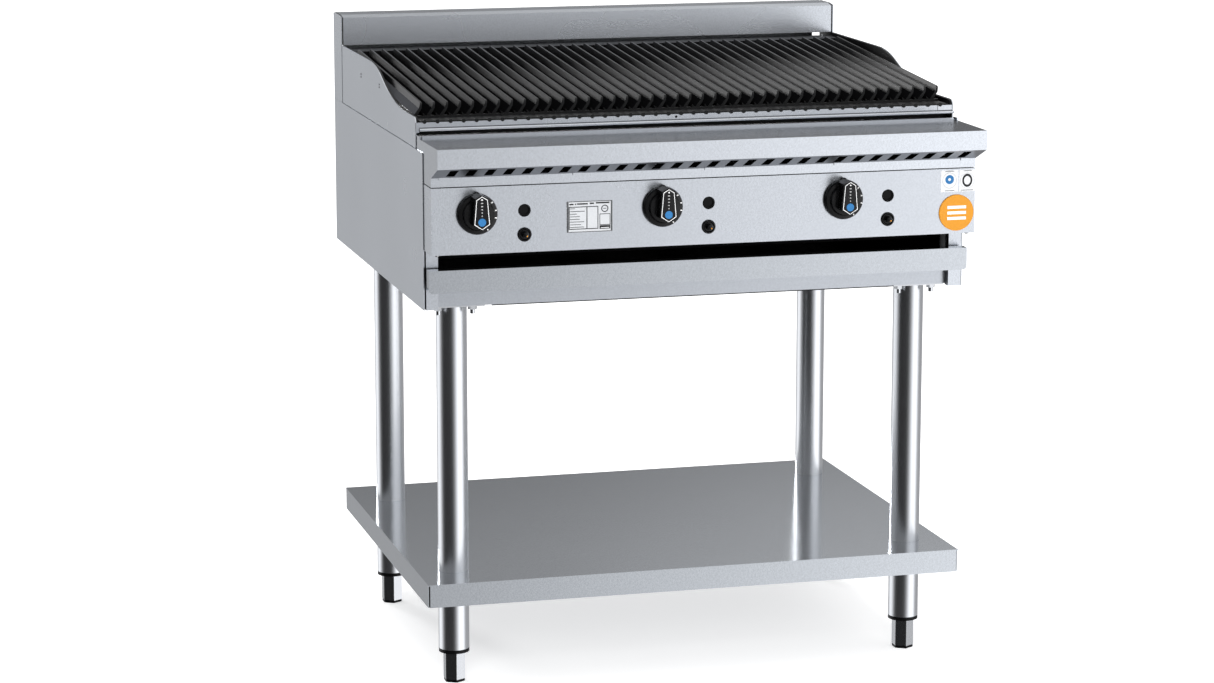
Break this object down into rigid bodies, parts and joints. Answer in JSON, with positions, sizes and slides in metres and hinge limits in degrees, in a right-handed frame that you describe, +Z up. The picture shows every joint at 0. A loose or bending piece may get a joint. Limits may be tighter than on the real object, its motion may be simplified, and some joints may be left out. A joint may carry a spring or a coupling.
{
  "type": "charbroiler grill",
  "caption": "Gas charbroiler with sloping cast grates between curved guards, a front ledge over a knob panel, a pull-out grease tray, and tube legs carrying an undershelf.",
  "frame": {"origin": "centre of the overall box in X and Y, on the floor under the feet", "axes": "+X to the cook's right, -Y towards the cook, +Z up"},
  "size_m": [0.9, 0.862, 1.0325],
  "materials": {
    "stainless": "satin stainless sheet",
    "galvanised": "galvanised sheet",
    "black_enamel": "black enamel",
    "burner_steel": "heat-tinted stainless tube",
    "cast_iron": "seasoned cast iron",
    "pipe_steel": "steel gas pipe",
    "brass": "machined brass",
    "zinc_steel": "zinc-plated steel",
    "black_plastic": "moulded black plastic",
    "tube_steel": "polished stainless tube",
    "plate_print": "printed label stock",
    "badge_orange": "gloss orange disc"
  },
  "bodies": {
    "grill_frame": {"side_panel_left": "stainless", "side_panel_right": "stainless", "front_crossmember": "stainless", "front_posts": "stainless", "control_panel": "stainless", "front_ledge": "stainless", "front_rail": "stainless", "guard_left": "stainless", "guard_right": "stainless", "splashback": "stainless", "splashback_cheeks": "stainless", "undershelf": "stainless", "rear_panel": "galvanised", "base_frame": "galvanised", "rear_rail": "black_enamel", "liner_left": "black_enamel", "liner_right": "black_enamel", "firebox_front": "black_enamel", "firebox_rear": "black_enamel", "burner_left": "burner_steel", "burner_centre": "burner_steel", "burner_right": "burner_steel", "pilots": "burner_steel", "radiants": "cast_iron", "gas_manifold": "pipe_steel", "gas_inlet": "pipe_steel", "gas_valves": "brass", "leg_bolts": "zinc_steel", "screws": "zinc_steel", "igniter_bodies": "black_plastic", "sight_ports": "black_plastic", "leg_sleeves": "black_plastic", "leg_front_left": "tube_steel", "leg_front_right": "tube_steel", "leg_rear_left": "tube_steel", "leg_rear_right": "tube_steel", "data_plate": "plate_print", "labels": "plate_print", "badge": "badge_orange"},
    "left_valve_stem": {"valve_stem_left": "zinc_steel"},
    "left_knob": {"knob_left": "black_plastic"},
    "left_igniter_button": {"igniter_button_left": "black_plastic"},
    "centre_valve_stem": {"valve_stem_centre": "zinc_steel"},
    "centre_knob": {"knob_centre": "black_plastic"},
    "centre_igniter_button": {"igniter_button_centre": "black_plastic"},
    "right_valve_stem": {"valve_stem_right": "zinc_steel"},
    "right_knob": {"knob_right": "black_plastic"},
    "right_igniter_button": {"igniter_button_right": "black_plastic"},
    "grease_tray": {"grease_pan": "black_enamel", "tray_front": "stainless"},
    "grate_1_casting": {"grate_1": "cast_iron"},
    "grate_2_casting": {"grate_2": "cast_iron"},
    "grate_3_casting": {"grate_3": "cast_iron"},
    "grate_4_casting": {"grate_4": "cast_iron"},
    "grate_5_casting": {"grate_5": "cast_iron"},
    "grate_6_casting": {"grate_6": "cast_iron"},
    "front_left_foot": {"foot_front_left": "tube_steel"},
    "front_right_foot": {"foot_front_right": "tube_steel"},
    "rear_left_foot": {"foot_rear_left": "tube_steel"},
    "rear_right_foot": {"foot_rear_right": "tube_steel"}
  },
  "joints": [
    {"name": "left_knob_push", "type": "slide", "parent": "grill_frame", "child": "left_valve_stem", "axis": [0, 1, 0], "range_m": [0, 0.003], "stiffness_N_per_m": 900},
    {"name": "left_knob_turn", "type": "hinge", "parent": "left_valve_stem", "child": "left_knob", "pos_m": [-0.3761, -0.3853, 0.7905], "axis": [0, -1, 0], "range_deg": [0, 270]},
    {"name": "left_igniter_push", "type": "slide", "parent": "grill_frame", "child": "left_igniter_button", "axis": [0, 1, 0], "range_m": [0, 0.004], "stiffness_N_per_m": 400},
    {"name": "centre_knob_push", "type": "slide", "parent": "grill_frame", "child": "centre_valve_stem", "axis": [0, 1, 0], "range_m": [0, 0.003], "stiffness_N_per_m": 900},
    {"name": "centre_knob_turn", "type": "hinge", "parent": "centre_valve_stem", "child": "centre_knob", "pos_m": [-0.0761, -0.3853, 0.7905], "axis": [0, -1, 0], "range_deg": [0, 270]},
    {"name": "centre_igniter_push", "type": "slide", "parent": "grill_frame", "child": "centre_igniter_button", "axis": [0, 1, 0], "range_m": [0, 0.004], "stiffness_N_per_m": 400},
    {"name": "right_knob_push", "type": "slide", "parent": "grill_frame", "child": "right_valve_stem", "axis": [0, 1, 0], "range_m": [0, 0.003], "stiffness_N_per_m": 900},
    {"name": "right_knob_turn", "type": "hinge", "parent": "right_valve_stem", "child": "right_knob", "pos_m": [0.2239, -0.3853, 0.7905], "axis": [0, -1, 0], "range_deg": [0, 270]},
    {"name": "right_igniter_push", "type": "slide", "parent": "grill_frame", "child": "right_igniter_button", "axis": [0, 1, 0], "range_m": [0, 0.004], "stiffness_N_per_m": 400},
    {"name": "grease_tray_pull", "type": "slide", "parent": "grill_frame", "child": "grease_tray", "axis": [0, -1, 0], "range_m": [0, 0.55]},
    {"name": "grate_1_lift", "type": "slide", "parent": "grill_frame", "child": "grate_1_casting", "axis": [0, 0, 1], "range_m": [0, 0.15]},
    {"name": "grate_2_lift", "type": "slide", "parent": "grill_frame", "child": "grate_2_casting", "axis": [0, 0, 1], "range_m": [0, 0.15]},
    {"name": "grate_3_lift", "type": "slide", "parent": "grill_frame", "child": "grate_3_casting", "axis": [0, 0, 1], "range_m": [0, 0.15]},
    {"name": "grate_4_lift", "type": "slide", "parent": "grill_frame", "child": "grate_4_casting", "axis": [0, 0, 1], "range_m": [0, 0.15]},
    {"name": "grate_5_lift", "type": "slide", "parent": "grill_frame", "child": "grate_5_casting", "axis": [0, 0, 1], "range_m": [0, 0.15]},
    {"name": "grate_6_lift", "type": "slide", "parent": "grill_frame", "child": "grate_6_casting", "axis": [0, 0, 1], "range_m": [0, 0.15]},
    {"name": "front_left_foot_adjust", "type": "slide", "parent": "grill_frame", "child": "front_left_foot", "axis": [0, 0, -1], "range_m": [0, 0.03]},
    {"name": "front_right_foot_adjust", "type": "slide", "parent": "grill_frame", "child": "front_right_foot", "axis": [0, 0, -1], "range_m": [0, 0.03]},
    {"name": "rear_left_foot_adjust", "type": "slide", "parent": "grill_frame", "child": "rear_left_foot", "axis": [0, 0, -1], "range_m": [0, 0.03]},
    {"name": "rear_right_foot_adjust", "type": "slide", "parent": "grill_frame", "child": "rear_right_foot", "axis": [0, 0, -1], "range_m": [0, 0.03]}
  ]
}
